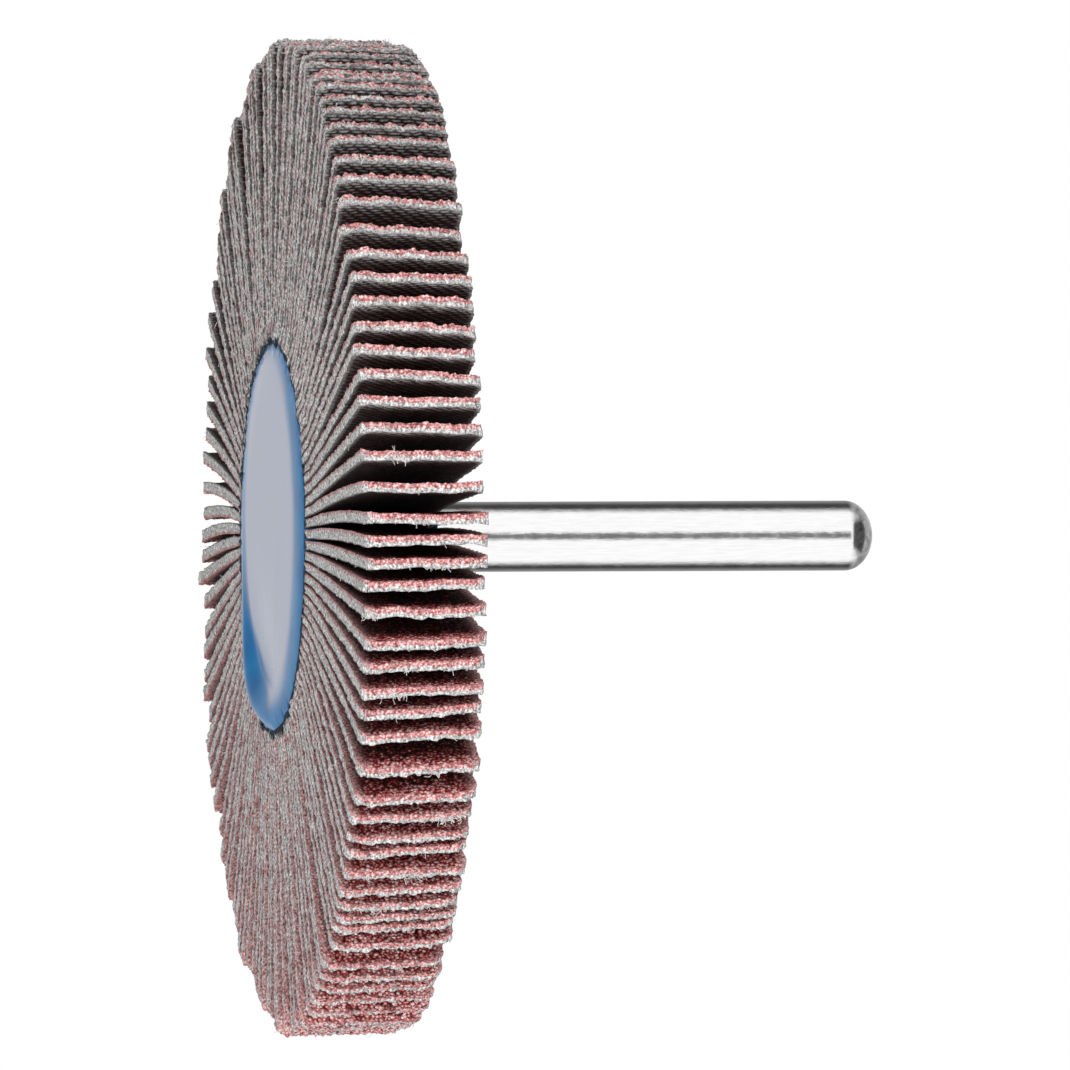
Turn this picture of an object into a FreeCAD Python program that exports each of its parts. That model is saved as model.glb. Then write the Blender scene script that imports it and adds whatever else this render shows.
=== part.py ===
"""Mounted flap wheel: abrasive cloth flaps set on edge round a cast resin hub, with a steel spindle.

The wheel stands on the front face of its hub, with the shank pointing up: +Z runs along the spindle's axis,
and the origin is the centre of the hub's front face. Lengths are in millimetres.
"""

import FreeCAD, Part
import math
import os

import Sketcher
from FreeCAD import Vector

doc = FreeCAD.newDocument("FlapWheel")

# Driving dimensions
SIZES = {
    "wheel_diameter": 85.5,  # over the flap tips
    "flap_width": 10.5,  # along the wheel's axis
    "flap_thickness": 0.75,  # cloth with its coat of grain
    "flap_count": 116,
    "root_gap": 0.07,  # resin film between neighbouring flaps at their inner ends
    "root_grip": 1.6,  # from the flaps' inner ends out to the hub's rim
    "flap_lean": 1.4,  # degrees by which the flaps lean towards the shank, from the hub's rim out
    "lean_scatter": 1.2,  # how unevenly they lean, in degrees either way
    "front_cover": 0.3,  # how far the hub's front face stands proud of the flaps at its rim
    "back_cover": 1.0,
    "hub_bevel": 0.6,
    "straight_run": 0.8,  # stretch of flap outside the hub that stays straight
    "tip_sway": 2.3,  # largest sideways bend of a flap at its tip
    "seat_scatter": 0.2,  # how unevenly deep the flaps sit in the resin
    "shank_diameter": 6.0,
    "shank_reach": 41.45,  # from the flaps' back edges at the hub's rim to the shank's end
    "shank_end_flat": 0.3,  # radius of the flat that the rounding of the shank's end leaves
    "shank_shoulder": 0.3,  # how far the shank stands out beyond the anchor, against the hub's back face
    "anchor_cover": 2.0,  # resin between the anchor's end and the hub's front face
    "knurl_cover": 3.6,  # from the knurl's outer end to the hub's back face
    "knurl_count": 16,
    "knurl_depth": 0.3,
}
sheet = doc.addObject("Spreadsheet::Sheet", "Sizes")
for row, (alias, value) in enumerate(SIZES.items(), start=1):
    sheet.set(f"A{row}", alias)
    sheet.set(f"B{row}", str(value))
    sheet.setAlias(f"B{row}", alias)
doc.recompute()

# Derived dimensions, each one expression on the sheet's cells
ROOT_RADIUS = "(Sizes.flap_count * (Sizes.flap_thickness + Sizes.root_gap) / (2 * pi))"
HUB_RADIUS = f"({ROOT_RADIUS} + Sizes.root_grip)"
BEND_START = f"({HUB_RADIUS} + Sizes.straight_run)"
FREE_LENGTH = f"(Sizes.wheel_diameter / 2 - {BEND_START})"
FLAP_BACK = "(Sizes.front_cover + Sizes.flap_width)"
HUB_HEIGHT = f"({FLAP_BACK} + Sizes.back_cover)"
SHANK_RADIUS = "(Sizes.shank_diameter / 2)"
DOME_RADIUS = f"({SHANK_RADIUS} - Sizes.shank_end_flat)"
SHANK_TOP = f"({FLAP_BACK} + Sizes.shank_reach)"
ANCHOR_RADIUS = f"({SHANK_RADIUS} - Sizes.shank_shoulder)"
ANCHOR_END = "Sizes.anchor_cover"
KNURL_LENGTH = f"({HUB_HEIGHT} - Sizes.knurl_cover - {ANCHOR_END})"
KNURL_MARGIN = 0.2  # how far the groove cutter reaches outside the anchor

BENDS = 12  # how many bent shapes the flaps take
FLAPS_PER_NODE = 2

# How unevenly the flaps were glued in, as sums of waves round the wheel. Each wave has its number of
# waves in a turn, its share of the largest amount, and its phase in degrees.
BEND_WAVES = (
    (3, 0.43, 6),
    (5, 0.15, 95),
    (6, 0.3, 40),
    (10, 0.18, 252),
    (18, 0.05, 21),
    (22, 0.1, 309),
    (44, 0.06, 278),
)
LEAN_WAVES = (
    (1, 0.12, 126),
    (4, 0.31, 31),
    (13, 0.15, 181),
    (25, 0.23, 211),
    (47, 0.14, 146),
    (51, 0.16, 213),
)
DEPTH_WAVES = ((23, 1.0, 0),)


def value_of(expression):
    """The number that an expression on the sheet's cells stands for."""
    return float(sheet.evalExpression(expression))


def origin_feature(body, role):
    """One of a body's own origin planes or axes, such as XY_Plane."""
    return next(p for p in body.Origin.OriginFeatures if p.Role == role)


def sketch_on(body, name, role):
    """An empty sketch on one of the body's origin planes."""
    sketch = body.newObject("Sketcher::SketchObject", name)
    sketch.AttachmentSupport = (origin_feature(body, role), [""])
    sketch.MapMode = "FlatFace"
    return sketch


def dimension(sketch, expression, kind, *where):
    """Adds a dimension to a sketch and binds it to an expression on the sheet. Angles are in radians."""
    index = sketch.addConstraint(Sketcher.Constraint(kind, *where, value_of(expression)))
    unit = " * 1 rad" if kind == "Angle" else ""
    sketch.setExpression(f"Constraints[{index}]", expression + unit)


def turned(name, bottom, *steps):
    """A round bar about the Z axis, which goes up from that height in steps of (radius, top)."""
    body = doc.addObject("PartDesign::Body", name)
    sketch = sketch_on(body, f"{name}Profile", "XZ_Plane")
    corners = [Vector(0, value_of(bottom))]
    for radius, top in steps:
        corners.append(Vector(value_of(radius), corners[-1].y))
        corners.append(Vector(value_of(radius), value_of(top)))
    corners.append(Vector(0, corners[-1].y))
    axis = len(corners) - 1
    for line, start in enumerate(corners):
        sketch.addGeometry(Part.LineSegment(start, corners[(line + 1) % len(corners)]))
    for line in range(len(corners)):
        sketch.addConstraint(Sketcher.Constraint("Coincident", line, 2, (line + 1) % len(corners), 1))
    for line in range(axis):
        sketch.addConstraint(Sketcher.Constraint("Vertical" if line % 2 else "Horizontal", line))
    for end in (1, 2):
        sketch.addConstraint(Sketcher.Constraint("PointOnObject", axis, end, -2))
    dimension(sketch, bottom, "DistanceY", -1, 1, 0, 1)
    for step, (radius, top) in enumerate(steps):
        wall = 2 * step + 1
        dimension(sketch, radius, "DistanceX", -1, 1, wall, 1)
        dimension(sketch, top, "DistanceY", -1, 1, wall, 2)
    turning = body.newObject("PartDesign::Revolution", f"{name}Turned")
    turning.Profile = sketch
    turning.ReferenceAxis = (sketch, ["V_Axis"])
    turning.Angle = 360
    sketch.Visibility = False
    doc.recompute()
    return body


def rim_edges(feature, radius, height):
    """Names of a feature's full circles of that radius at that height."""
    return [
        f"Edge{n}"
        for n, edge in enumerate(feature.Shape.Edges, start=1)
        if isinstance(edge.Curve, Part.Circle)
        and math.isclose(edge.Curve.Radius, radius, abs_tol=1e-6)
        and math.isclose(edge.Curve.Center.z, height, abs_tol=1e-6)
    ]


def dress_rim(body, kind, name, radius, height, size_property, size):
    """Rounds or bevels the rim of a turned body at that radius and height."""
    base = body.Tip
    dressed = body.newObject(f"PartDesign::{kind}", name)
    dressed.Base = (base, rim_edges(base, value_of(radius), value_of(height)))
    dressed.setExpression(size_property, size)
    doc.recompute()


def make_spindle():
    """Ground steel shank with a domed end and a shoulder on the hub, and a knurled anchor in the resin."""
    body = turned("Spindle", ANCHOR_END, (ANCHOR_RADIUS, HUB_HEIGHT), (SHANK_RADIUS, SHANK_TOP))
    dress_rim(body, "Fillet", "Dome", SHANK_RADIUS, SHANK_TOP, "Radius", DOME_RADIUS)
    cutter = sketch_on(body, "KnurlTooth", "XY_Plane")
    cutter.setExpression("AttachmentOffset.Base.z", ANCHOR_END)
    floor_radius = f"({ANCHOR_RADIUS} - Sizes.knurl_depth)"
    mouth_radius = f"({ANCHOR_RADIUS} + {KNURL_MARGIN})"
    half_mouth = f"(Sizes.knurl_depth + {KNURL_MARGIN})"
    floor_point = Vector(value_of(floor_radius), 0)
    low = Vector(value_of(mouth_radius), -value_of(half_mouth))
    high = Vector(value_of(mouth_radius), value_of(half_mouth))
    for start, end in ((floor_point, low), (low, high), (high, floor_point)):
        cutter.addGeometry(Part.LineSegment(start, end))
    for line in range(3):
        cutter.addConstraint(Sketcher.Constraint("Coincident", line, 2, (line + 1) % 3, 1))
    cutter.addConstraint(Sketcher.Constraint("PointOnObject", 0, 1, -1))
    cutter.addConstraint(Sketcher.Constraint("Symmetric", 1, 1, 1, 2, -1))
    dimension(cutter, floor_radius, "DistanceX", -1, 1, 0, 1)
    dimension(cutter, mouth_radius, "DistanceX", -1, 1, 1, 1)
    dimension(cutter, f"2 * {half_mouth}", "DistanceY", 1, 1, 1, 2)
    groove = body.newObject("PartDesign::Pocket", "KnurlGroove")
    groove.Profile = cutter
    groove.Reversed = True
    groove.setExpression("Length", KNURL_LENGTH)
    doc.recompute()
    knurl = body.newObject("PartDesign::PolarPattern", "Knurl")
    knurl.Originals = [groove]
    knurl.Axis = (origin_feature(body, "Z_Axis"), [""])
    knurl.Angle = 360
    knurl.setExpression("Occurrences", "Sizes.knurl_count")
    body.Tip = knurl
    return body


def make_flap_form(number):
    """A flap as seen edge on, straight in the resin and bent to one side outside it, padded to its width."""
    share = 2 * number / (BENDS - 1) - 1
    side = math.copysign(1, share)
    sway = f"({abs(share)} * Sizes.tip_sway)"
    bend_radius = f"({FREE_LENGTH} ^ 2 / (2 * {sway}))"
    bend_angle = f"(2 * {sway} / {FREE_LENGTH})"
    half = value_of("Sizes.flap_thickness / 2")
    root_x, bend_x = value_of(ROOT_RADIUS), value_of(BEND_START)
    radius, angle = value_of(bend_radius), value_of(bend_angle)
    centre = Vector(bend_x, side * radius)
    flat, tip = (1, 2) if side > 0 else (2, 1)

    body = doc.addObject("PartDesign::Body", f"FlapForm{number}")
    sketch = sketch_on(body, f"FlapEdge{number}", "XY_Plane")
    root, low, high, low_bend, high_bend, end = range(6)
    sketch.addGeometry(Part.LineSegment(Vector(root_x, -half), Vector(root_x, half)))
    for y in (-half, half):
        sketch.addGeometry(Part.LineSegment(Vector(root_x, y), Vector(bend_x, y)))
    first = -math.pi / 2 if side > 0 else math.pi / 2 - angle
    tips = []
    for y in (-half, half):
        circle = Part.Circle(centre, Vector(0, 0, 1), radius - side * y)
        sketch.addGeometry(Part.ArcOfCircle(circle, first, first + angle))
        reach = radius - side * y
        tips.append(centre + Vector(reach * math.sin(angle), -side * reach * math.cos(angle)))
    sketch.addGeometry(Part.LineSegment(*tips))
    for a, a_end, b, b_end in (
        (root, 1, low, 1),
        (root, 2, high, 1),
        (high, 2, high_bend, flat),
        (low_bend, tip, end, 1),
        (high_bend, tip, end, 2),
        (low_bend, 3, high_bend, 3),
    ):
        sketch.addConstraint(Sketcher.Constraint("Coincident", a, a_end, b, b_end))
    sketch.addConstraint(Sketcher.Constraint("Tangent", low, 2, low_bend, flat))
    sketch.addConstraint(Sketcher.Constraint("Symmetric", root, 1, root, 2, -1))
    sketch.addConstraint(Sketcher.Constraint("Horizontal", low))
    sketch.addConstraint(Sketcher.Constraint("Vertical", low, 2, high, 2))
    sketch.addConstraint(Sketcher.Constraint("Horizontal", high))
    sketch.addConstraint(Sketcher.Constraint("PointOnObject", low_bend, 3, end))
    dimension(sketch, ROOT_RADIUS, "DistanceX", -1, 1, root, 1)
    dimension(sketch, BEND_START, "DistanceX", -1, 1, low, 2)
    dimension(sketch, "Sizes.flap_thickness", "DistanceY", root, 1, root, 2)
    sign = "+" if side > 0 else "-"
    dimension(sketch, f"({bend_radius} {sign} Sizes.flap_thickness / 2)", "Radius", low_bend)
    dimension(sketch, f"(pi / 2 {sign} {bend_angle})", "Angle", end)
    pad = body.newObject("PartDesign::Pad", f"FlapCloth{number}")
    pad.Profile = sketch
    pad.setExpression("Length", "Sizes.flap_width")
    doc.recompute()
    return body


def unevenness(flap, waves):
    """One flap's share, from -1 to 1, of an unevenness made of waves round the wheel."""
    turn = 2 * math.pi * flap / flap_count
    total = sum(share * math.sin(count * turn + math.radians(phase)) for count, share, phase in waves)
    return min(max(total, -1), 1)


def place_flap(flap):
    """One flap on its place round the hub, with the bend, depth and lean that it was glued in with."""
    bend = unevenness(flap, BEND_WAVES)
    depth = f"{unevenness(flap, DEPTH_WAVES):.4f} * Sizes.seat_scatter"
    lean = f"((Sizes.flap_lean + {unevenness(flap, LEAN_WAVES):.4f} * Sizes.lean_scatter) * 1 deg)"
    turn = f"({flap} * 360 deg / Sizes.flap_count)"
    # A flap leans about its front edge's point at the hub's rim
    out = f"({depth} + {HUB_RADIUS} * (1 - cos({lean})))"
    up = f"(Sizes.front_cover - {HUB_RADIUS} * sin({lean}))"
    base = f"create(<<vector>>; {out} * cos({turn}); {out} * sin({turn}); {up})"
    turning = f"create(<<rotation>>; create(<<vector>>; 0; 0; 1); {turn})"
    leaning = f"create(<<rotation>>; create(<<vector>>; 0; -1; 0); {lean})"
    placed = doc.addObject("App::Link", f"Flap{flap + 1}")
    placed.LinkedObject = forms[round((bend + 1) / 2 * (BENDS - 1))]
    placed.setExpression("Placement", f"create(<<placement>>; {base}; {turning} * {leaning})")
    return placed


flap_count = int(value_of("Sizes.flap_count"))
spindle = make_spindle()
forms = [make_flap_form(number) for number in range(BENDS)]
flaps = [place_flap(flap) for flap in range(flap_count)]
doc.recompute()

# The resin is cast round the flaps' inner ends and the spindle, so both leave their shape in it
hub_blank = turned("HubBlank", "0", (HUB_RADIUS, HUB_HEIGHT))
dress_rim(hub_blank, "Chamfer", "FrontRim", HUB_RADIUS, "0", "Size", "Sizes.hub_bevel")
dress_rim(hub_blank, "Chamfer", "BackRim", HUB_RADIUS, HUB_HEIGHT, "Size", "Sizes.hub_bevel")
inserts = doc.addObject("Part::Compound", "Inserts")
inserts.Links = [spindle, *flaps]
hub = doc.addObject("Part::Cut", "Hub")
hub.Base = hub_blank
hub.Tool = inserts

spindle.Label = "spindle"
hub.Label = "resin_hub"
sub_parts = [spindle, hub]
for first in range(0, flap_count, FLAPS_PER_NODE):
    members = flaps[first : first + FLAPS_PER_NODE]
    pair = doc.addObject("Part::Compound", f"FlapPair{first // FLAPS_PER_NODE + 1}")
    pair.Links = members
    pair.Label = f"flap_pair_{first // FLAPS_PER_NODE + 1:02d}"
    sub_parts.append(pair)
doc.recompute()

for item in doc.Objects:
    if "Invalid" in item.State or "Error" in item.State:
        raise RuntimeError(f"{item.Label} failed to build: {item.State}")
os.makedirs("parts", exist_ok=True)
for part in sub_parts:
    if part.Shape.isNull() or not part.Shape.isValid():
        raise RuntimeError(f"{part.Label} has no valid shape")
    part.Shape.exportStep(f"parts/{part.Label}.step")
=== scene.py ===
"""How the flap wheel looks: its cloth flaps, resin hub and steel shank, round the fixed CAD frame.

Everything is in metres. The axis is Z, the front face is down at zero and the shank points up.
"""

import math

import bmesh
import bpy
import numpy as np
from mathutils import Matrix, Vector, noise


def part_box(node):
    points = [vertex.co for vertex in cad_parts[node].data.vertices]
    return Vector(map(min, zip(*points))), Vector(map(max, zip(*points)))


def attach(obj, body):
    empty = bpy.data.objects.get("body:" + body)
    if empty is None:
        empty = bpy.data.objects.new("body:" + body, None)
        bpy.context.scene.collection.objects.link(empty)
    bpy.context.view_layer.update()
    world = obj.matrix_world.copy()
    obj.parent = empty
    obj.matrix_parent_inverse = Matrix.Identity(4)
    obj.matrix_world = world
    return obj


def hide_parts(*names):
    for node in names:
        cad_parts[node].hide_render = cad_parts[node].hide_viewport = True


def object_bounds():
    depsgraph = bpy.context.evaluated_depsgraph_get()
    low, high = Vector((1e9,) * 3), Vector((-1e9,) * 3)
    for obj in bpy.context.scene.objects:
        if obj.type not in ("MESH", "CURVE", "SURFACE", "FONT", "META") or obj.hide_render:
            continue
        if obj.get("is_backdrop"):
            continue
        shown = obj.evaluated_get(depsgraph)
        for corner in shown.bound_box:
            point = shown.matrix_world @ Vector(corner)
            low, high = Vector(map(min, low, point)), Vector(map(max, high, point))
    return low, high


MM = 0.001
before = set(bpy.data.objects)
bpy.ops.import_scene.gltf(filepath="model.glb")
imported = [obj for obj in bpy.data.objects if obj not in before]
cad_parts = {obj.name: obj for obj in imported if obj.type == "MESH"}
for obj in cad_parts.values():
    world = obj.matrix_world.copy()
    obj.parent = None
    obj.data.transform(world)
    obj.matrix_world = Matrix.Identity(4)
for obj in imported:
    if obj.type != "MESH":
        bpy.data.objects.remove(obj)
cad_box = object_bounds()

# ---------------------------------------------------------------- camera
VIEW_AZIMUTH = math.radians(0.87)
VIEW_ELEVATION = math.radians(-9.9)
VIEW_ROLL = math.radians(0.2)
VIEW_DISTANCE = 3.0
IMAGE_PIXELS = 1070
PIXELS_PER_MM = 11.67
SENSOR_MM = 36.0
AIM_HEIGHT = 22.94 * MM
AIM_RISE = 0.14 * MM

to_camera = Vector(
    (
        math.sin(VIEW_AZIMUTH) * math.cos(VIEW_ELEVATION),
        -math.cos(VIEW_AZIMUTH) * math.cos(VIEW_ELEVATION),
        math.sin(VIEW_ELEVATION),
    )
)


def make_camera():
    """The long lens that looks at the rim, from a little in front, with the shank to the right."""
    axis_side = (Vector((0, 0, 1)) - to_camera.z * to_camera).normalized()
    axis_up = to_camera.cross(axis_side)
    right = math.cos(VIEW_ROLL) * axis_side - math.sin(VIEW_ROLL) * axis_up
    up = math.sin(VIEW_ROLL) * axis_side + math.cos(VIEW_ROLL) * axis_up
    data = bpy.data.cameras.new("camera")
    data.sensor_width = SENSOR_MM
    data.lens = SENSOR_MM * VIEW_DISTANCE / (IMAGE_PIXELS / PIXELS_PER_MM * MM)
    data.clip_end = 2 * VIEW_DISTANCE
    camera = bpy.data.objects.new("camera", data)
    bpy.context.scene.collection.objects.link(camera)
    aim = Vector((0, 0, AIM_HEIGHT)) + AIM_RISE * up
    camera.location = aim + VIEW_DISTANCE * to_camera
    camera.rotation_mode = "QUATERNION"
    camera.rotation_quaternion = Matrix((right, up, to_camera)).transposed().to_quaternion()
    bpy.context.scene.camera = camera


# ---------------------------------------------------------------- shader wires
class Wire:
    """A node's output that takes part in sums: each operator adds a Math node."""

    def __init__(self, tree, socket):
        self.tree = tree
        self.socket = socket

    def math(self, operation, *others):
        sockets = dict(enumerate((self, *others)))
        return add_node(self.tree, "Math", {"operation": operation}, sockets)

    def __add__(self, other):
        return self.math("ADD", other)

    def __radd__(self, other):
        return self.math("ADD", other)

    def __sub__(self, other):
        return self.math("SUBTRACT", other)

    def __rsub__(self, other):
        return (self * -1.0).math("ADD", other)

    def __mul__(self, other):
        return self.math("MULTIPLY", other)

    def __rmul__(self, other):
        return self.math("MULTIPLY", other)

    def rise(self, low, high):
        """0 below low and 1 above high, with a smooth rise between them."""
        return add_node(
            self.tree,
            "MapRange",
            {"interpolation_type": "SMOOTHSTEP"},
            {"Value": self, "From Min": low, "From Max": high},
        )


def add_node(tree, kind, settings, sockets, output=0):
    """Adds a node, sets it up, then sets or links its sockets, and returns one of its outputs."""
    node = tree.nodes.new("ShaderNode" + kind)
    for name, value in settings.items():
        if name == "stops":
            stops = node.color_ramp.elements
            while len(stops) < len(value):
                stops.new(0.5)
            for element, (place, colour) in zip(stops, value):
                element.position = place
                element.color = (*colour, 1.0)
        else:
            setattr(node, name, value)
    for key, value in sockets.items():
        if isinstance(value, Wire):
            tree.links.new(value.socket, node.inputs[key])
        elif isinstance(value, tuple) and len(value) == 3 and node.inputs[key].type == "RGBA":
            node.inputs[key].default_value = (*value, 1.0)
        else:
            node.inputs[key].default_value = value
    return Wire(tree, node.outputs[output])


def mixed(factor, first, second):
    """A colour between two, by a factor."""
    return add_node(
        factor.tree, "Mix", {"data_type": "RGBA"}, {0: factor, 6: first, 7: second}, output=2
    )


def new_material(name, **constants):
    """A material with these constant values. Returns it, its node tree and its shader."""
    material = bpy.data.materials.new(name)
    material.use_nodes = True
    shader = material.node_tree.nodes["Principled BSDF"]
    for socket, value in constants.items():
        shader.inputs[socket.replace("_", " ")].default_value = value
    return material, material.node_tree, shader


def feed(tree, shader, **wires):
    """Links what changes over the surface to the shader's own sockets."""
    for socket, wire in wires.items():
        tree.links.new(wire.socket, shader.inputs[socket.replace("_", " ")])


def places_in_mm(tree):
    """The surface's own place in the object, in millimetres."""
    place = add_node(tree, "TexCoord", {}, {}, output=3)
    return add_node(tree, "VectorMath", {"operation": "SCALE"}, {0: place, "Scale": 1 / MM})


def noise_at(place, scale, detail, roughness=0.5):
    """Noise over the surface, from 0 to 1, with that many lumps to a millimetre."""
    sockets = {"Vector": place, "Scale": scale, "Detail": detail, "Roughness": roughness}
    return add_node(place.tree, "TexNoise", {}, sockets)


def ramp(factor, *stops):
    """A colour that runs through these stops, each of them a place from 0 to 1 and its colour."""
    return add_node(factor.tree, "ValToRGB", {"stops": stops}, {0: factor})


def axis_of(vector, axis):
    """One of the three numbers in a vector."""
    return add_node(vector.tree, "SeparateXYZ", {}, {0: vector}, output=axis)


# ---------------------------------------------------------------- materials
GRAINS_PER_MM = 3.6
TWILL_ROWS_PER_MM = 3.3
FLOATS_PER_MM = 0.95
CLOTH_RELIEF = 0.20 * MM
# near-black of resin-soaked cloth, which also serves as painted shade at the hub
SOAKED_AND_SHADED_CLOTH = (0.010, 0.020, 0.035)
# near-black of the resin's round side, soaked cloth and painted shade between the flaps
SOAKED_AND_SHADED_RESIN = (0.003, 0.006, 0.011)
# pale colour of the painted reflection on the resin's front
PAINTED_RESIN_REFLECTION = (0.146, 0.190, 0.340)
TURNING_MARK = (0.16, 0.16, 0.16)


def cloth_material():
    """Abrasive cloth: grain in red resin on one side, twill on the other, cut edges between."""
    material, tree, shader = new_material("abrasive_cloth", IOR=1.45)
    place = places_in_mm(tree)
    cut = add_node(tree, "UVMap", {"uv_map": "cloth"}, {})
    across = axis_of(cut, 0)
    along = axis_of(cut, 1)
    layer = add_node(tree, "Attribute", {"attribute_name": "layer"}, {}, output=2)
    half_width = FLAP_WIDTH / MM / 2
    from_side = half_width - (across - half_width).math("ABSOLUTE")
    from_tip = STRIP_LENGTH / MM - along

    speck = noise_at(place, 5.0, 3.0, roughness=0.6)
    patch = noise_at(place, 0.9, 2.0)
    fuzz = noise_at(place, 2.6, 2.0)
    # painted light at the free end, fading to painted shade deeper in the gaps between flaps: how
    # far that reaches on the cloth side and on the grain side
    painted_light_cloth_end = 1.0 - (from_tip + (fuzz - 0.5) * 0.8).rise(0.0, 2.3)
    painted_light_grain_end = 1.0 - (from_tip + (fuzz - 0.5) * 1.4).rise(0.2, 4.6)

    # mineral grains in dark red resin, paler towards the free end with painted light
    grains = {"Vector": place, "Scale": GRAINS_PER_MM, "Randomness": 1.0}
    spread = add_node(tree, "TexVoronoi", {}, grains)
    tint = add_node(tree, "TexVoronoi", {}, grains, output=1)
    share = add_node(tree, "SeparateColor", {}, {0: tint})
    crystal = (1.0 - spread * 1.5) * 0.6 + share * 0.45 + (speck - 0.5) * 0.7
    grain_colour = ramp(
        crystal * 0.88 + painted_light_grain_end * 0.42 - 0.20,
        (0.05, (0.009, 0.001, 0.001)),
        (0.26, (0.095, 0.009, 0.010)),
        (0.46, (0.410, 0.050, 0.050)),
        (0.64, (0.810, 0.280, 0.265)),
        (0.80, (0.990, 0.820, 0.800)),
    )

    # twill back: short floats in rows, each row set off from the last, paler towards the free end
    # with painted light
    row = along * TWILL_ROWS_PER_MM + (patch - 0.5) * 0.9
    step = row.math("FLOOR")
    run = (across * FLOATS_PER_MM + step * 0.37 + (fuzz - 0.5) * 0.5).math("FRACT")
    float_rise = (run * math.pi).math("SINE") * (row.math("FRACT") * math.pi).math("SINE")
    weave = float_rise.math("POWER", 0.7) * 0.8 + (speck - 0.5) * 0.8 + (patch - 0.5) * 0.4
    back_colour = ramp(
        weave * 0.90 + painted_light_cloth_end * 0.42 - 0.22,
        (0.05, (0.028, 0.004, 0.005)),
        (0.30, (0.045, 0.033, 0.033)),
        (0.60, (0.200, 0.197, 0.193)),
        (0.95, (0.560, 0.555, 0.545)),
    )

    # cut cloth: pale broken fibres, which also spread over the faces at the edges
    ribs = ((across + along) * 15.0 + fuzz * 4.0).math("SINE")
    broken = speck * 0.75 + fuzz * 0.25 + ribs * 0.03
    edge_colour = ramp(
        broken,
        (0.32, (0.060, 0.058, 0.058)),
        (0.46, (0.410, 0.407, 0.405)),
        (0.62, (0.900, 0.895, 0.885)),
    )
    grain_edge = ramp(
        broken,
        (0.32, (0.170, 0.030, 0.030)),
        (0.46, (0.640, 0.285, 0.285)),
        (0.62, (0.980, 0.780, 0.765)),
    )
    on_cut = layer.rise(0.04, 0.12) * (1.0 - layer.rise(0.88, 0.97))
    side_fray = 1.0 - (from_side + (fuzz - 0.5) * 0.5).rise(0.08, 0.45)
    tip_fray = 1.0 - (from_tip + (fuzz - 0.5) * 0.9).rise(0.05, 0.75)
    bared = on_cut.math("MAXIMUM", side_fray * 0.35).math("MAXIMUM", tip_fray * 0.7)
    cloth = mixed(bared, back_colour, edge_colour)
    grain_fray = 1.0 - (from_side + (fuzz - 0.5) * 0.8).rise(0.1, 1.1)
    worn = (grain_fray * 0.70).math("MAXIMUM", tip_fray * 0.45)
    mineral = mixed(worn, grain_colour, grain_edge)
    # which part of the thickness is cloth, with a ragged border to the grain
    woven = (layer + (fuzz - 0.5) * 0.55 + side_fray * 0.24 - tip_fray * 0.08).rise(0.39, 0.49)
    clean = mixed(woven, mineral, cloth)
    # casting resin soaks into the cloth at the hub; the near-black colour there is also painted
    # shade in the recess where the flaps meet the hub
    root_reach = HUB_RADIUS / MM - STRIP_ROOT / MM
    soak_and_shade = 1.0 - (along + (fuzz - 0.5) * 1.6).rise(root_reach - 0.1, root_reach + 0.5)
    colour = mixed(soak_and_shade, clean, SOAKED_AND_SHADED_CLOTH)
    relief = woven * (bared * broken + (1.0 - bared) * weave * 0.8) + (1.0 - woven) * crystal
    bump = add_node(tree, "Bump", {}, {"Height": relief, "Distance": CLOTH_RELIEF, "Strength": 0.9})
    gloss = 0.92 - (1.0 - woven) * crystal * 0.5
    feed(tree, shader, Base_Color=colour, Roughness=gloss, Normal=bump)
    return material


def fibre_material():
    """Loose fibres of the cloth: pale, a little uneven."""
    material, tree, shader = new_material("loose_fibre", Roughness=0.9)
    uneven = noise_at(places_in_mm(tree), 1.4, 2.0)
    colour = ramp(uneven, (0.3, (0.42, 0.38, 0.37)), (0.6, (0.88, 0.86, 0.84)))
    feed(tree, shader, Base_Color=colour)
    return material


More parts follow.
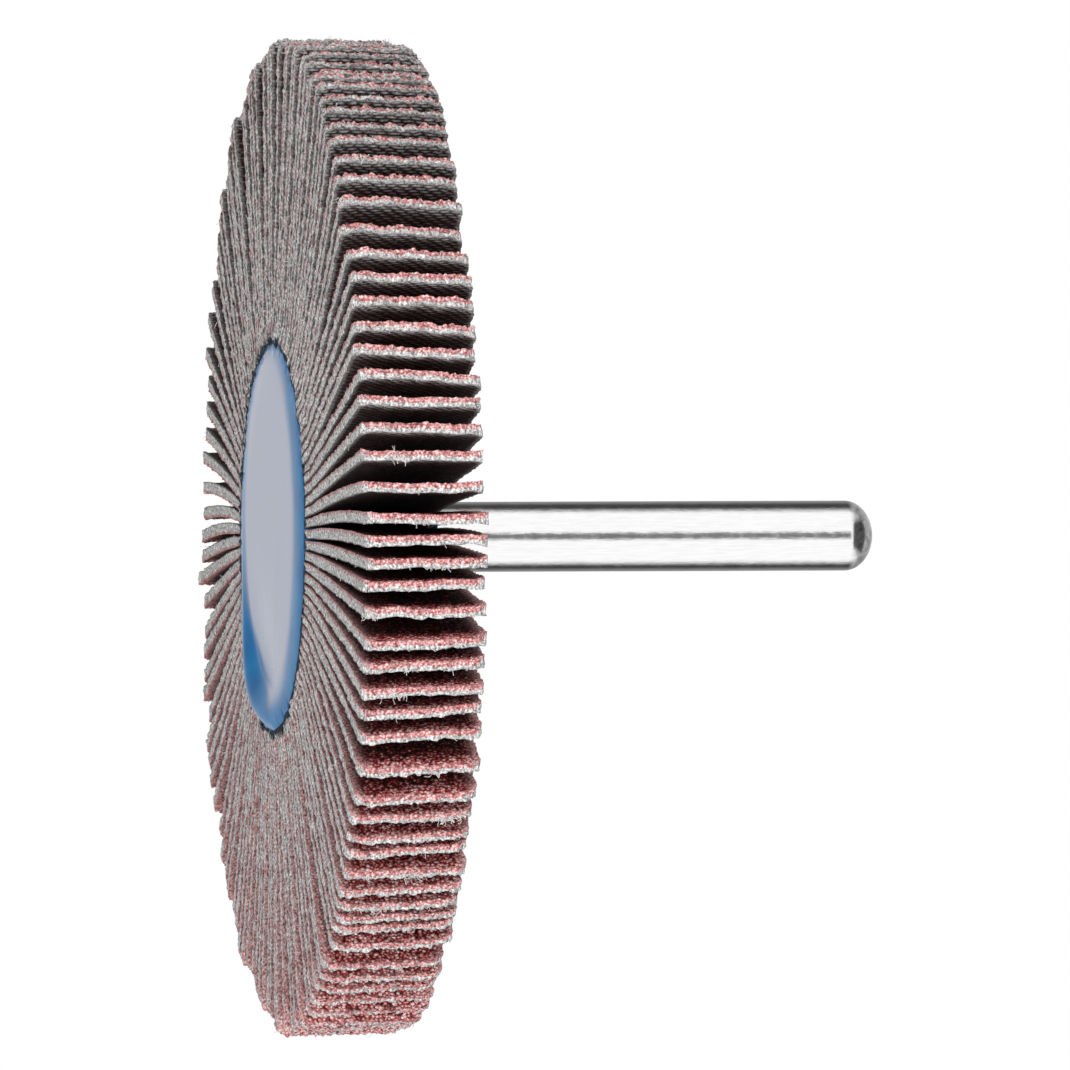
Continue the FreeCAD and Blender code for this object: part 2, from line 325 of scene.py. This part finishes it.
def resin_material():
    """Blue casting resin, with a pale painted reflection on the flat of its front."""
    material, tree, shader = new_material("blue_resin", IOR=1.12, Coat_Roughness=0.14)
    place = places_in_mm(tree)
    flow = noise_at(place, 0.22, 2.0)
    pits = noise_at(place, 2.0, 2.0)
    blue = ramp(flow, (0.3, (0.006, 0.122, 0.335)), (0.7, (0.012, 0.195, 0.440)))
    # the painted reflection is an oval a little off the middle, cut short where the raised lip
    # begins
    oval = add_node(tree, "VectorMath", {"operation": "MULTIPLY"}, {0: place, 1: (0.82, 1.0, 0.0)})
    centred = add_node(
        tree, "VectorMath", {"operation": "DISTANCE"}, {0: oval, 1: (-0.7, 1.1, 0.0)}, output=1
    )
    to_lip = add_node(
        tree, "VectorMath", {"operation": "DOT_PRODUCT"}, {0: place, 1: (0.82, 0.57, 0.0)}, output=1
    )
    reflection_patch = 1.0 - (centred + (flow - 0.5) * 1.2).rise(11.2, 13.6)
    reflection_patch = reflection_patch * (1.0 - (to_lip + flow - 0.5).rise(11.2, 12.8))
    depth = axis_of(place, 2)
    reflection_patch = reflection_patch * (1.0 - depth.rise(2.0, 4.0))
    colour = mixed(reflection_patch, blue, PAINTED_RESIN_REFLECTION)
    # on its round side the resin is hidden in soaked cloth, and its near-black colour there is also
    # painted shade between the flaps
    flat = add_node(tree, "VectorMath", {"operation": "MULTIPLY"}, {0: place, 1: (1.0, 1.0, 0.0)})
    radius = add_node(tree, "VectorMath", {"operation": "LENGTH"}, {0: flat}, output=1)
    hidden_and_shaded = radius.rise(16.1, 16.6) * depth.rise(1.0, 1.8)
    colour = mixed(hidden_and_shaded, colour, SOAKED_AND_SHADED_RESIN)
    bump = add_node(
        tree, "Bump", {}, {"Height": flow + pits * 0.05, "Distance": 0.05 * MM, "Strength": 0.4}
    )
    gloss = 0.12 + pits * 0.08 + hidden_and_shaded * 0.6
    # the pale patch is a painted reflection; the clear coat is also stronger there
    feed(tree, shader, Base_Color=colour, Roughness=gloss, Coat_Weight=reflection_patch * 0.5, Normal=bump)
    return material


def steel_material():
    """Ground and polished steel, with faint marks along the bar and round its end."""
    material, tree, shader = new_material("polished_steel", Metallic=1.0)
    place = places_in_mm(tree)
    stretched = add_node(tree, "Mapping", {}, {"Vector": place, "Scale": (3.0, 3.0, 0.3)})
    marks = noise_at(stretched, 2.0, 4.0)
    smears = noise_at(place, 1.1, 3.0)
    colour = ramp(marks, (0.3, (0.92, 0.92, 0.92)), (0.6, (0.99, 0.99, 0.99)))
    # the dome keeps darker turning marks
    turned = noise_at(place, 0.55, 4.0, roughness=0.65)
    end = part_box("spindle")[1].z
    on_dome = axis_of(place, 2).rise((end - DOME_DEPTH) / MM, (end - 0.6 * DOME_DEPTH) / MM)
    colour = mixed(on_dome * turned.rise(0.40, 0.60) * 0.75, colour, TURNING_MARK)
    relief = marks * 0.25 + smears
    bump = add_node(tree, "Bump", {}, {"Height": relief, "Distance": 0.03 * MM, "Strength": 0.8})
    feed(tree, shader, Base_Color=colour, Roughness=0.04 + smears * 0.18, Normal=bump)
    return material


# ---------------------------------------------------------------- cloth flaps
FLAP_CUTS_ACROSS = 14
FLAP_CUTS_ALONG = 28
FINE_TIP = 3.0 * MM
FINEST_TIP = 1.0 * MM
CORNER_WEAR = 1.5 * MM
FRAYED_EDGE = 0.35 * MM
SIDE_SWELL = 0.30
WAVE = 0.18 * MM
RIPPLE = 0.16 * MM
# millimetres of twist at the free end, which turns the other way in the other half of the wheel
TWIST = 0.45
COARSE_SEED, WAVE_SEED, RIPPLE_SEED, FIBRE_SEED = 500, 900, 1300, 7000


def islands(shell):
    """The separate bodies in a mesh, as sets of its vertices."""
    left = set(shell.verts)
    while left:
        found = set()
        edge = [left.pop()]
        while edge:
            vert = edge.pop()
            found.add(vert)
            for link in vert.link_edges:
                other = link.other_vert(vert)
                if other in left:
                    left.remove(other)
                    edge.append(other)
        yield found


def read_flaps(node):
    """How a CAD node's two flaps stand, in order of turn: turn, lean, root and tip."""
    copy = bmesh.new()
    copy.from_mesh(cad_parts[node].data)
    bmesh.ops.remove_doubles(copy, verts=copy.verts, dist=MM / 1000)
    flaps = []
    for island in islands(copy):
        points = np.array([vert.co for vert in island])
        reach = np.hypot(points[:, 0], points[:, 1])
        root = points[np.argsort(reach)[:4]]
        turn = math.atan2(root[:, 1].mean(), root[:, 0].mean())
        along = points[:, 0] * math.cos(turn) + points[:, 1] * math.sin(turn)
        aside = points[:, 1] * math.cos(turn) - points[:, 0] * math.sin(turn)
        place = np.c_[along, aside, points[:, 2]]
        inner = place[np.argsort(reach)[:4]]
        outer = place[np.argsort(along)[-4:]]
        inner_front = inner[np.argsort(inner[:, 2])[:2]].mean(0)
        outer_front = outer[np.argsort(outer[:, 2])[:2]].mean(0)
        rise = outer_front - inner_front
        lean = math.atan2(rise[2], rise[0])
        flaps.append(
            {
                "turn": turn,
                "lean": lean,
                "root": (inner_front[0], inner_front[2]),
                "tip": (rise[0] / math.cos(lean), outer_front[1]),
            }
        )
    copy.free()
    first, second = flaps
    if (second["turn"] - first["turn"]) % math.tau > math.pi:
        first, second = second, first
    return [first, second]


flaps_of = {
    name: read_flaps(name) for name in sorted(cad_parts) if name.startswith("flap_pair_")
}
hub_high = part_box("resin_hub")[1]
HUB_RADIUS = hub_high.x
BEND_START = HUB_RADIUS + 0.8 * MM
FLAP_WIDTH = 10.5 * MM
FLAP_THICKNESS = 0.75 * MM
WHEEL_RADIUS = 42.75 * MM
STRIP_ROOT = min(flap["root"][0] for pair in flaps_of.values() for flap in pair)
STRIP_LENGTH = WHEEL_RADIUS - STRIP_ROOT


def flap_blank():
    """A straight strip of cloth: X is across it, Y from root to tip and Z through its thickness."""
    shell = bmesh.new()
    bmesh.ops.create_grid(shell, x_segments=FLAP_CUTS_ACROSS, y_segments=FLAP_CUTS_ALONG, size=0.5)
    for vert in shell.verts:
        vert.co = Vector(((vert.co.x + 0.5) * FLAP_WIDTH, (vert.co.y + 0.5) * STRIP_LENGTH, 0))
    close = FLAP_WIDTH / FLAP_CUTS_ACROSS

    def near(vert, tip_reach, side_reach):
        side = min(vert.co.x, FLAP_WIDTH - vert.co.x)
        free = vert.co.y > BEND_START - STRIP_ROOT
        return vert.co.y > STRIP_LENGTH - tip_reach or (free and side < side_reach)

    for tip_reach, side_reach, cuts in ((FINE_TIP, 0.9 * close, 2), (FINEST_TIP, 0.0, 1)):
        chosen = [e for e in shell.edges if all(near(v, tip_reach, side_reach) for v in e.verts)]
        bmesh.ops.subdivide_edges(shell, edges=chosen, cuts=cuts, use_grid_fill=True)
    bmesh.ops.recalc_face_normals(shell, faces=shell.faces)
    bmesh.ops.solidify(shell, geom=shell.faces[:], thickness=FLAP_THICKNESS)
    middle = sum(v.co.z for v in shell.verts) / len(shell.verts)
    for vert in shell.verts:
        vert.co.z -= middle
    half = FLAP_THICKNESS / 2
    through = [e for e in shell.edges if abs(e.verts[0].co.z - e.verts[1].co.z) > half]
    bmesh.ops.subdivide_edges(shell, edges=through, cuts=3, use_grid_fill=True)
    bmesh.ops.triangulate(shell, faces=[f for f in shell.faces if len(f.verts) > 4])
    bmesh.ops.recalc_face_normals(shell, faces=shell.faces)
    blank = bpy.data.meshes.new("flap_blank")
    shell.to_mesh(blank)
    shell.free()
    return blank


def lumps(places, size, seed):
    """Smooth noise from about -1 to 1 at each place, with bumps of about that size."""
    shift = Vector((seed * 17.3, seed * 5.1, seed * 9.7))
    return np.array([noise.noise(Vector(p) / size + shift) for p in places.tolist()])


def make_pair_blank():
    """Two blanks in one mesh, with their cut coordinates and the layer that each point lies in."""
    single = flap_blank()
    both = bmesh.new()
    both.from_mesh(single)
    both.from_mesh(single)
    layer = both.verts.layers.float.new("layer")
    cut = both.loops.layers.uv.new("cloth")
    for vert in both.verts:
        vert[layer] = 0.5 + vert.co.z / FLAP_THICKNESS
    for face in both.faces:
        face.smooth = True
        for loop in face.loops:
            loop[cut].uv = (loop.vert.co.x / MM, loop.vert.co.y / MM)
    pair = bpy.data.meshes.new("pair_blank")
    both.to_mesh(pair)
    both.free()
    return pair


def rounded_corners(across, along, wear):
    """Wears the two corners of the free end round."""
    side = np.minimum(across, FLAP_WIDTH - across)
    right = np.where(across > FLAP_WIDTH / 2, 1, -1)
    u = np.clip(1 - side / wear, 0, 1)
    v = np.clip(1 - (STRIP_LENGTH - along) / wear, 0, 1)
    reach = np.hypot(u, v)
    pull = np.where(reach > 0, 1 - np.maximum(u, v) / np.maximum(reach, 1e-9), 0)
    return across - right * u * pull * wear, along - v * pull * wear


def ease(values, low, high):
    """0 below low and 1 above high, with a smooth rise between them."""
    share = np.clip((values - low) / (high - low), 0, 1)
    return share * share * (3 - 2 * share)


def bent(strip, flap, seed):
    """The strip's points on their place in the wheel: frayed, bent and turned as this flap is."""
    across, along, deep = strip.T.copy()
    rng = np.random.default_rng(seed)
    wear = CORNER_WEAR * rng.uniform(0.5, 1.0)
    radius = STRIP_ROOT + along
    free = np.clip((radius - HUB_RADIUS) / (WHEEL_RADIUS - HUB_RADIUS), 0, 1)
    side = np.minimum(across, FLAP_WIDTH - across)
    right = np.where(across > FLAP_WIDTH / 2, 1, -1)
    at_tip = np.clip(1 - (STRIP_LENGTH - along) / FRAYED_EDGE, 0, 1)
    at_side = np.clip(1 - side / FRAYED_EDGE, 0, 1) * (radius > HUB_RADIUS)
    grain = np.clip(0.5 - deep / FLAP_THICKNESS, 0, 1)

    rough = lumps(strip, 0.30 * MM, seed)
    coarse = lumps(strip, 0.9 * MM, seed + COARSE_SEED)
    across, along = rounded_corners(across, along, wear)
    # cut sides swell where the flaps have room
    room = ease(radius, HUB_RADIUS + 1.5 * MM, HUB_RADIUS + 6 * MM)
    deep = deep * (1 + SIDE_SWELL * room * np.clip(1 - side / (0.6 * MM), 0, 1))
    # grain stands out of its side, and the cloth side is a little uneven
    deep = deep - grain**3 * (0.05 + 0.13 * rough) * MM * free
    deep = deep + (1 - grain) ** 3 * (0.08 * coarse) * MM * free
    # cut edges are frayed
    along = along + at_tip * (0.28 * rough + 0.20 * coarse - 0.18) * MM
    across = across + right * at_side * (0.13 * rough + 0.10 * coarse) * MM
    # the front edge stands up a little where it leaves the resin
    swell = ease(radius, HUB_RADIUS - 0.8 * MM, HUB_RADIUS - 0.4 * MM)
    swell = swell * (1 - ease(radius, HUB_RADIUS + 0.4 * MM, HUB_RADIUS + 2 * MM))
    swell = swell * np.clip(1 - side / (2 * MM), 0, 1) * (right < 0)
    across = across - (0.20 + 0.12 * coarse) * MM * swell

    # a bend as a ring segment outside the straight root
    root_x, root_z = flap["root"]
    tip_run, tip_side = flap["tip"]
    straight_run = BEND_START - root_x
    run = tip_run - straight_run
    angle = 2 * math.atan2(tip_side, run)
    curve = math.hypot(run, tip_side) / (2 * math.sin(angle / 2))
    travel = along / STRIP_LENGTH * (straight_run + curve * angle) - straight_run
    lean_side = np.clip(travel / curve, 0, None) if curve > 0 else np.clip(travel / curve, None, 0)
    middle_x = np.where(travel < 0, travel, curve * np.sin(lean_side)) + straight_run
    middle_y = curve * (1 - np.cos(lean_side))
    # a slight wave and twist of the free end
    own = 0 * across + seed * MM
    wave = lumps(np.c_[across, 0 * across, own], 6 * MM, seed + WAVE_SEED)
    twist = (rng.normal(0, 0.12) - TWIST * np.clip(2.5 * math.cos(flap["turn"]), -1, 1)) * MM
    ripple = lumps(np.c_[across, 0.3 * along, own], 1.6 * MM, seed + RIPPLE_SEED)
    sway = free**2 * (WAVE * wave + twist * (across / FLAP_WIDTH - 0.5))
    sway = sway + RIPPLE * ripple * ease(free, 0.75, 1.0)
    x = middle_x - (deep + sway) * np.sin(lean_side)
    y = middle_y + (deep + sway) * np.cos(lean_side)
    lean, turn = flap["lean"], flap["turn"]
    out = root_x + x * math.cos(lean) - across * math.sin(lean)
    up = root_z + x * math.sin(lean) + across * math.cos(lean)
    return np.c_[
        out * math.cos(turn) - y * math.sin(turn),
        out * math.sin(turn) + y * math.cos(turn),
        up,
    ]


def make_flaps(material):
    """One piece for each CAD pair of flaps."""
    blank = make_pair_blank()
    count = len(blank.vertices)
    strip = np.empty(count * 3)
    blank.vertices.foreach_get("co", strip)
    strip = strip.reshape(-1, 3)
    half = count // 2
    for number, (node, pair) in enumerate(flaps_of.items()):
        places = np.vstack(
            [
                bent(strip[:half], pair[0], 2 * number + 1),
                bent(strip[half:], pair[1], 2 * number + 2),
            ]
        )
        mesh = blank.copy()
        mesh.name = f"cloth_flaps_{number + 1:02d}"
        mesh.vertices.foreach_set("co", places.ravel())
        mesh.materials.append(material)
        mesh.set_sharp_from_angle(angle=math.radians(60))
        mesh.update()
        piece = bpy.data.objects.new(mesh.name, mesh)
        bpy.context.scene.collection.objects.link(piece)
        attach(piece, "root")
        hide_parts(node)


# ---------------------------------------------------------------- loose fibres
FIBRE_RADIUS = 0.024 * MM
TIP_FIBRES = 18
SIDE_FIBRES = 14
TUFT_FIBRES = 26
# tufts that stand out: turn round the axis in degrees, place across the flap in mm, reach in mm
TUFTS = (
    (229, 0.3, 1.1),
    (222, 2.2, 0.8),
    (214, 0.8, 0.7),
    (261, 3.2, 1.0),
    (267, 4.6, 0.8),
    (272, 6.1, 0.7),
    (280, 0.4, 1.1),
    (284, 4.0, 0.7),
    (290, 3.1, 1.1),
    (297, 6.5, 0.8),
    (303, 8.6, 0.9),
    (312.5, 5.6, 1.2),
    (321, 3.5, 0.9),
    (40, 5.0, 0.9),
    (95, 2.5, 0.9),
    (150, 7.5, 0.9),
)


def fibre_path(rng, start, outward, reach):
    """Four points of a curly fibre in the strip's own frame, from inside the edge outwards."""
    start = np.array(start)
    outward = np.array(outward)
    first = start + outward * reach * rng.uniform(0.2, 0.45) + rng.normal(0, 0.28, 3) * reach
    second = first + outward * reach * rng.uniform(-0.3, 0.3) + rng.normal(0, 0.42, 3) * reach
    third = second - outward * reach * rng.uniform(0, 0.3) + rng.normal(0, 0.34, 3) * reach
    return [start - outward * 0.15 * MM, first, second, third]


def make_fibres(material):
    """Fibres pulled out of the cut edges, most of them short, with tufts on some flaps."""
    curve = bpy.data.curves.new("fibre_paths", "CURVE")
    curve.dimensions = "3D"
    curve.bevel_depth = FIBRE_RADIUS
    curve.bevel_resolution = 0
    curve.resolution_u = 2
    flaps = [flap for pair in flaps_of.values() for flap in pair]
    for number, flap in enumerate(flaps):
        rng = np.random.default_rng(FIBRE_SEED + number)
        paths = []
        for _ in range(TIP_FIBRES):
            spot = rng.uniform(0.02, 0.98) * FLAP_WIDTH
            start = (spot, STRIP_LENGTH, rng.uniform(0, 0.5) * FLAP_THICKNESS)
            paths.append(fibre_path(rng, start, (0, 1, 0), rng.uniform(0.10, 0.32) * MM))
        for _ in range(SIDE_FIBRES):
            front = rng.random() < 0.7
            place = rng.uniform(0.12, 1.0) * STRIP_LENGTH
            start = (0 if front else FLAP_WIDTH, place, rng.uniform(-0.3, 0.5) * FLAP_THICKNESS)
            outward = (-1 if front else 1, 0, 0)
            paths.append(fibre_path(rng, start, outward, rng.uniform(0.08, 0.24) * MM))
        for turn, place, reach in TUFTS:
            if abs((math.degrees(flap["turn"]) - turn + 180) % 360 - 180) < 180 / len(flaps):
                for _ in range(TUFT_FIBRES):
                    spot = place * MM + rng.normal(0, 0.50) * MM
                    start = (spot, STRIP_LENGTH, rng.uniform(-0.1, 0.5) * FLAP_THICKNESS)
                    length = rng.uniform(0.22, 0.60) * reach * MM
                    paths.append(fibre_path(rng, start, (0, 1, 0.7), length))
        places = bent(np.array(paths).reshape(-1, 3), flap, number + 1).reshape(-1, 4, 3)
        for path in places:
            spline = curve.splines.new("NURBS")
            spline.points.add(len(path) - 1)
            for point, place in zip(spline.points, path):
                point.co = (*place, 1)
            spline.order_u = 3
            spline.use_endpoint_u = True
    drawn = bpy.data.objects.new("fibre_paths", curve)
    mesh = bpy.data.meshes.new_from_object(drawn)
    bpy.data.objects.remove(drawn)
    bpy.data.curves.remove(curve)
    mesh.name = "loose_fibres"
    mesh.materials.clear()
    mesh.materials.append(material)
    piece = bpy.data.objects.new("loose_fibres", mesh)
    bpy.context.scene.collection.objects.link(piece)
    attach(piece, "root")


# ---------------------------------------------------------------- hub and shank
def lathe(name, outline, steps):
    """A closed round body about the axis, from (radius, height) points that start and end on it."""
    shell = bmesh.new()
    points = [shell.verts.new((radius, 0, height)) for radius, height in outline]
    lines = [shell.edges.new(two) for two in zip(points, points[1:])]
    bmesh.ops.spin(
        shell,
        geom=points + lines,
        cent=(0, 0, 0),
        axis=(0, 0, 1),
        angle=math.tau,
        steps=steps,
        use_merge=True,
    )
    bmesh.ops.remove_doubles(shell, verts=shell.verts, dist=MM / 1000)
    bmesh.ops.recalc_face_normals(shell, faces=shell.faces)
    for face in shell.faces:
        face.smooth = True
    mesh = bpy.data.meshes.new(name)
    shell.to_mesh(mesh)
    shell.free()
    return mesh


def quarter(radius, height, size, start, steps=8, squeeze=1.0):
    """Points of a rounded corner about (radius, height), from start degrees on, a quarter turn."""
    for step in range(steps + 1):
        angle = math.radians(start + 90 * step / steps)
        yield radius + size * math.cos(angle), height + size * squeeze * math.sin(angle)


# four steps to each flap
HUB_STEPS = 464
SHANK_STEPS = 128
PAD_RINGS = 26
PAD_FLAT = 9 * MM
BACK_ROUND = 1.2 * MM
SHANK_FILLET = 0.9 * MM
CREEP = 0.16 * MM
DOME_DEPTH = 2.4 * MM
RIM_WIDTH = 4.6 * MM
RIM_DROP = 0.8 * MM
LIP_TURN = math.radians(30)
LIP_SPREAD = math.radians(36)


def hub_front(reach, turn):
    """How far back the resin's front lies: a flat pad, a falling rim, a raised lip on one side."""
    outside = np.clip((reach - (HUB_RADIUS - RIM_WIDTH)) / RIM_WIDTH, 0, 1)
    level = (1 - 0.6 * np.clip(np.sin(turn), 0, 1)) * (1 - 0.6 * np.clip(-np.cos(turn), 0, 1))
    fall = RIM_DROP * level * (1 - np.sqrt(1 - outside**2))
    away = (turn - LIP_TURN + math.pi) % math.tau - math.pi
    lip = np.exp(-((away / LIP_SPREAD) ** 2))
    dish = 0.20 * MM * ease(reach, 4 * MM, 11.5 * MM)
    climb = 1.00 * MM * ease(reach, 12.8 * MM, 15.2 * MM)
    edge = 0.90 * MM * ease(reach, 15.6 * MM, HUB_RADIUS)
    return (1 - lip) * fall + lip * (dish - climb + edge)


def make_hub(material):
    """The cast resin hub, whose surface creeps up and down where it meets the flaps."""
    height = hub_high.z
    rim = BACK_ROUND
    outline = [(0, 0), (4 * MM, 0), (7 * MM, 0)]
    for ring in range(PAD_RINGS + 1):
        outline.append((PAD_FLAT + (HUB_RADIUS - PAD_FLAT) * ring / PAD_RINGS, 0))
    outline += [(HUB_RADIUS, 1.6 * MM), (HUB_RADIUS, height / 2)]
    outline += list(quarter(HUB_RADIUS - rim, height - rim * 0.5, rim, 0, squeeze=0.5))
    # the resin climbs a little way up the shank
    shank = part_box("spindle")[1].x
    climb = SHANK_FILLET
    outline += [(HUB_RADIUS * 0.5, height)]
    outline += [(shank + climb - x, height + climb - y) for x, y in quarter(0, 0, climb, 90)][::-1]
    outline += [(0, height + climb)]
    mesh = lathe("cast_hub", outline, HUB_STEPS)
    places = np.empty(len(mesh.vertices) * 3)
    mesh.vertices.foreach_get("co", places)
    places = places.reshape(-1, 3)
    reach = np.hypot(places[:, 0], places[:, 1])
    front = places[:, 2] < 0.5 * MM
    flat = places * (1, 1, 0)
    creep = lumps(flat, 0.55 * MM, 3) + 0.8 * lumps(flat, 2.2 * MM, 4)
    surface = hub_front(reach, np.arctan2(places[:, 1], places[:, 0]))
    surface += CREEP * creep * ease(reach, 15.2 * MM, HUB_RADIUS)
    places[:, 2] = np.where(front, surface, places[:, 2])
    mesh.vertices.foreach_set("co", places.ravel())
    mesh.update()
    mesh.materials.append(material)
    piece = bpy.data.objects.new("cast_hub", mesh)
    bpy.context.scene.collection.objects.link(piece)
    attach(piece, "root")
    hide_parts("resin_hub")


def make_shank(material):
    """The ground steel shank with its domed end."""
    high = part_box("spindle")[1]
    radius = high.x
    foot = hub_high.z - 1 * MM
    shoulder = high.z - DOME_DEPTH
    outline = [(0, foot), (radius, foot), (radius, shoulder)]
    outline += list(quarter(0, shoulder, radius, 0, steps=20, squeeze=DOME_DEPTH / radius))[1:]
    mesh = lathe("ground_shank", outline, SHANK_STEPS)
    mesh.materials.append(material)
    mesh.set_sharp_from_angle(angle=math.radians(50))
    piece = bpy.data.objects.new("ground_shank", mesh)
    bpy.context.scene.collection.objects.link(piece)
    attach(piece, "root")
    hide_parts("spindle")


# ---------------------------------------------------------------- studio
FLOOR_DROP = 0.8 * MM
LAMP_SIZE = 0.5


def make_floor():
    """A pale floor under the front face, which is clear from below, where the camera is."""
    mesh = bpy.data.meshes.new("floor")
    shell = bmesh.new()
    bmesh.ops.create_grid(shell, x_segments=1, y_segments=1, size=2.0)
    shell.to_mesh(mesh)
    shell.free()
    floor = bpy.data.objects.new("floor", mesh)
    floor.location.z = -FLOOR_DROP
    bpy.context.scene.collection.objects.link(floor)
    material, tree, shader = new_material(
        "pale_floor", Base_Color=(0.86, 0.86, 0.86, 1), Roughness=0.9, Emission_Strength=1.0
    )
    seen = add_node(tree, "LightPath", {}, {}, output=0)
    feed(tree, shader, Emission_Color=mixed(seen, (0.0, 0.0, 0.0), (0.40, 0.40, 0.40)))
    clear = add_node(tree, "BsdfTransparent", {}, {})
    below = add_node(tree, "NewGeometry", {}, {}, output=6)
    both = add_node(tree, "MixShader", {}, {0: below, 1: Wire(tree, shader.outputs[0]), 2: clear})
    tree.links.new(both.socket, tree.nodes["Material Output"].inputs[0])
    mesh.materials.append(material)
    floor.visible_diffuse = False
    floor.visible_glossy = False
    floor.visible_transmission = False
    floor.visible_shadow = False
    floor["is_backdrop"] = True


def make_world():
    """Soft light from all sides, white when seen straight, with dark screens in what it mirrors."""
    world = bpy.data.worlds.new("studio")
    world.use_nodes = True
    bpy.context.scene.world = world
    tree = world.node_tree
    background = tree.nodes["Background"]
    seen = add_node(tree, "LightPath", {}, {}, output=0)
    mirrored = add_node(tree, "LightPath", {}, {}, output=3)
    through = add_node(tree, "LightPath", {}, {}, output=6)
    ray = add_node(tree, "TexCoord", {}, {}, output=0)
    facing = add_node(
        tree, "VectorMath", {"operation": "DOT_PRODUCT"}, {0: ray, 1: tuple(to_camera)}, output=1
    )
    up_down = axis_of(ray, 0)
    aside = up_down.math("ABSOLUTE")
    height = axis_of(ray, 2)
    # the edges of the shank show what is behind it, and are a little lighter at its end
    behind = (1.0 - (facing + up_down * 0.06).rise(-0.43, 0.12)) * height.rise(0.0, 0.08)
    behind = behind * (0.75 + facing.rise(-1.0, -0.55) * 0.25)
    behind = behind * (1.0 - height.rise(0.22, 0.50) * 0.4)
    # the line along the middle of the shank, and the dark patch on its dome
    front = facing.rise(0.5, 0.6) * (1.0 - aside.rise(0.07, 0.28)) * (1.0 - height.rise(0.25, 0.36))
    above = height.rise(0.38, 0.56) * (1.0 - aside.rise(0.50, 0.85)) * facing.rise(-0.7, -0.1)
    # what the resin mirrors, and the dim ends of the studio
    below = aside.rise(0.88, 0.94) * (1.0 - height.rise(-0.05, 0.0))
    ends = height.rise(0.55, 0.75) * 0.45 + (1.0 - height.rise(-0.60, -0.30)) * 0.30
    dark = (behind * 0.95).math("MAXIMUM", front * 0.82).math("MAXIMUM", ends)
    dark = dark.math("MAXIMUM", above * 0.90)
    screens = 1.0 - dark.math("MAXIMUM", below * 0.85)
    direct = (seen + through).rise(0.0, 1.0)
    level = direct + (1.0 - direct) * (mirrored * screens + (1.0 - mirrored) * 0.42)
    tree.links.new(level.socket, background.inputs["Strength"])
    background.inputs["Color"].default_value = (1, 1, 1, 1)


def make_lamp(name, place, watts):
    """A square soft lamp that points at the middle of the wheel."""
    data = bpy.data.lights.new(name, "AREA")
    data.size = LAMP_SIZE
    data.energy = watts
    lamp = bpy.data.objects.new(name, data)
    bpy.context.scene.collection.objects.link(lamp)
    lamp.location = place
    lamp.rotation_mode = "QUATERNION"
    lamp.rotation_quaternion = Vector(place).to_track_quat("Z", "Y")
    lamp.visible_glossy = False


make_camera()
make_floor()
make_world()
make_lamp("soft_lamp_up", (-0.55, -0.66, 0.02), 3.9)
make_lamp("soft_lamp_down", (0.52, -0.68, -0.05), 4.9)
make_lamp("soft_lamp_front", (0.15, -0.50, -0.68), 2.2)
make_flaps(cloth_material())
make_fibres(fibre_material())
make_hub(resin_material())
make_shank(steel_material())
bpy.context.scene.view_settings.view_transform = "Standard"

boxes = {"cad": cad_box, "visual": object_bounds()}
{name: [list(corner) for corner in box] for name, box in boxes.items()}
